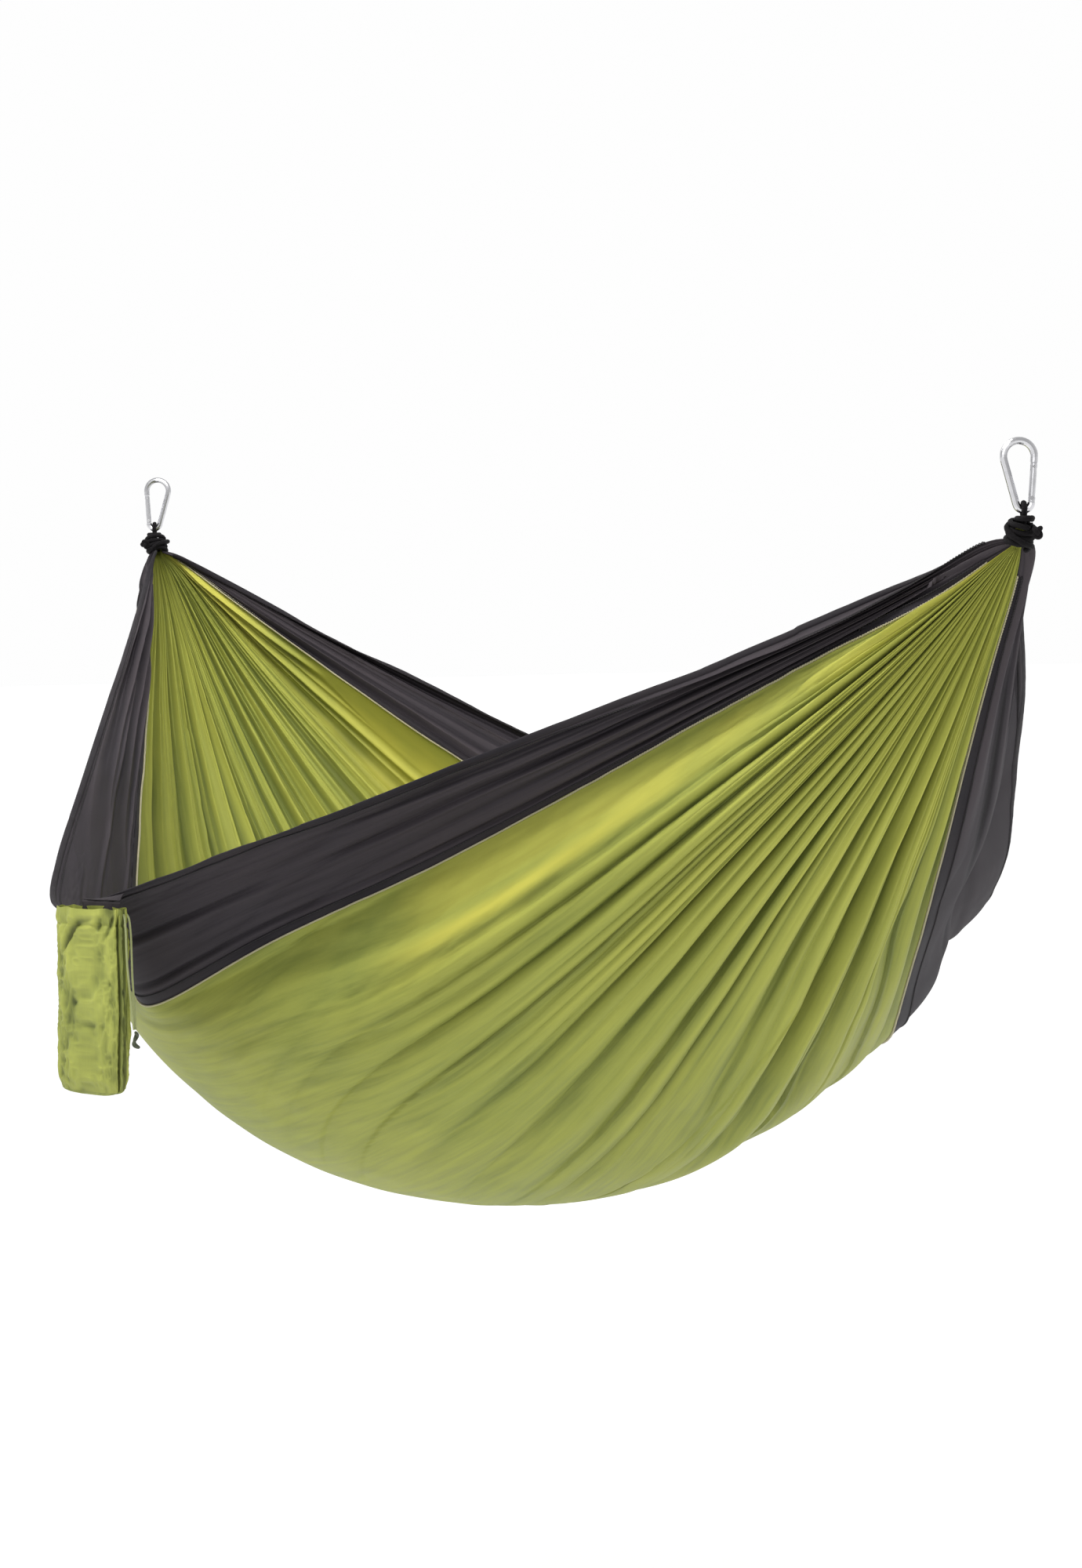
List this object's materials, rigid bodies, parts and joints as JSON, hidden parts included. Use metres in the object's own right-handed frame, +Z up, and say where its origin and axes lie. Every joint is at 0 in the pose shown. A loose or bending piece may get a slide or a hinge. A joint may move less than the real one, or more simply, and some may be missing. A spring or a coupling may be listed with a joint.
{
  "type": "camping hammock",
  "caption": "Parachute-cloth camping hammock with a gathered and whipped end at each side, snap hooks to hang it by and its stuff sack on one hem.",
  "frame": {"origin": "inside of the left hook's bow, on the hook's plane, where the hammock is hung", "axes": "+X along the bed from the left hook to the right hook, +Y to the far side of the bed, +Z up"},
  "size_m": [2.1822, 1.3095, 0.9392],
  "materials": {
    "bed_green": "thin woven nylon, soft sheen",
    "bed_charcoal": "thin woven nylon, soft sheen",
    "seam_thread": "felled seam with light thread",
    "rope": "braided rope",
    "zinc": "bright zinc plate",
    "sack_green": "thin woven nylon, soft sheen",
    "sack_string": "thin light cord",
    "string_knot": "dark cord knot"
  },
  "bodies": {
    "bed": {"center_panel": "bed_green", "near_side_panel": "bed_charcoal", "far_side_panel": "bed_charcoal", "near_seam": "seam_thread", "far_seam": "seam_thread", "near_hem": "bed_charcoal", "far_hem": "bed_charcoal", "rope_whipping_left": "rope", "rope_loop_left": "rope", "stopper_knot_left": "rope", "rope_whipping_right": "rope", "rope_loop_right": "rope", "stopper_knot_right": "rope"},
    "hook_left": {"carabiner_body_left": "zinc", "gate_rivet_left": "zinc"},
    "gate_arm_left": {"gate_left": "zinc", "latch_pin_left": "zinc", "gate_spring_left": "zinc", "spring_plunger_left": "zinc"},
    "hook_right": {"carabiner_body_right": "zinc", "gate_rivet_right": "zinc"},
    "gate_arm_right": {"gate_right": "zinc", "latch_pin_right": "zinc", "gate_spring_right": "zinc", "spring_plunger_right": "zinc"},
    "stuff_sack": {"sack_tab": "bed_charcoal", "sack_channel": "sack_green", "sack_body": "sack_green", "sack_base": "sack_green", "sack_drawstring": "sack_string", "drawstring_tail_a": "sack_string", "drawstring_tail_b": "sack_string", "drawstring_knot": "string_knot"}
  },
  "joints": [
    {"name": "hook_left_tilt", "type": "hinge", "parent": "bed", "child": "hook_left", "pos_m": [-0.0025, -0.00433, -0.068], "axis": [-0.5, -0.866, 0], "range_deg": [-80, 80]},
    {"name": "gate_left_open", "type": "hinge", "parent": "hook_left", "child": "gate_arm_left", "pos_m": [-0.00665, -0.01152, -0.0555], "axis": [-0.866, 0.5, 0], "range_deg": [0, 28], "stiffness_Nm_per_rad": 0.06, "springref_deg": -45.84},
    {"name": "hook_right_tilt", "type": "hinge", "parent": "bed", "child": "hook_right", "pos_m": [2.14117, -0.00433, -0.068], "axis": [0.5, 0.866, 0], "range_deg": [-80, 80]},
    {"name": "gate_right_open", "type": "hinge", "parent": "hook_right", "child": "gate_arm_right", "pos_m": [2.14532, 0.00286, -0.0555], "axis": [0.866, -0.5, 0], "range_deg": [0, 28], "stiffness_Nm_per_rad": 0.06, "springref_deg": -45.84},
    {"name": "sack_swing", "type": "hinge", "parent": "bed", "child": "stuff_sack", "pos_m": [1.1763, -0.62135, -0.51161], "axis": [-0.9135, -0.4067, 0], "range_deg": [-25, 110]}
  ]
}
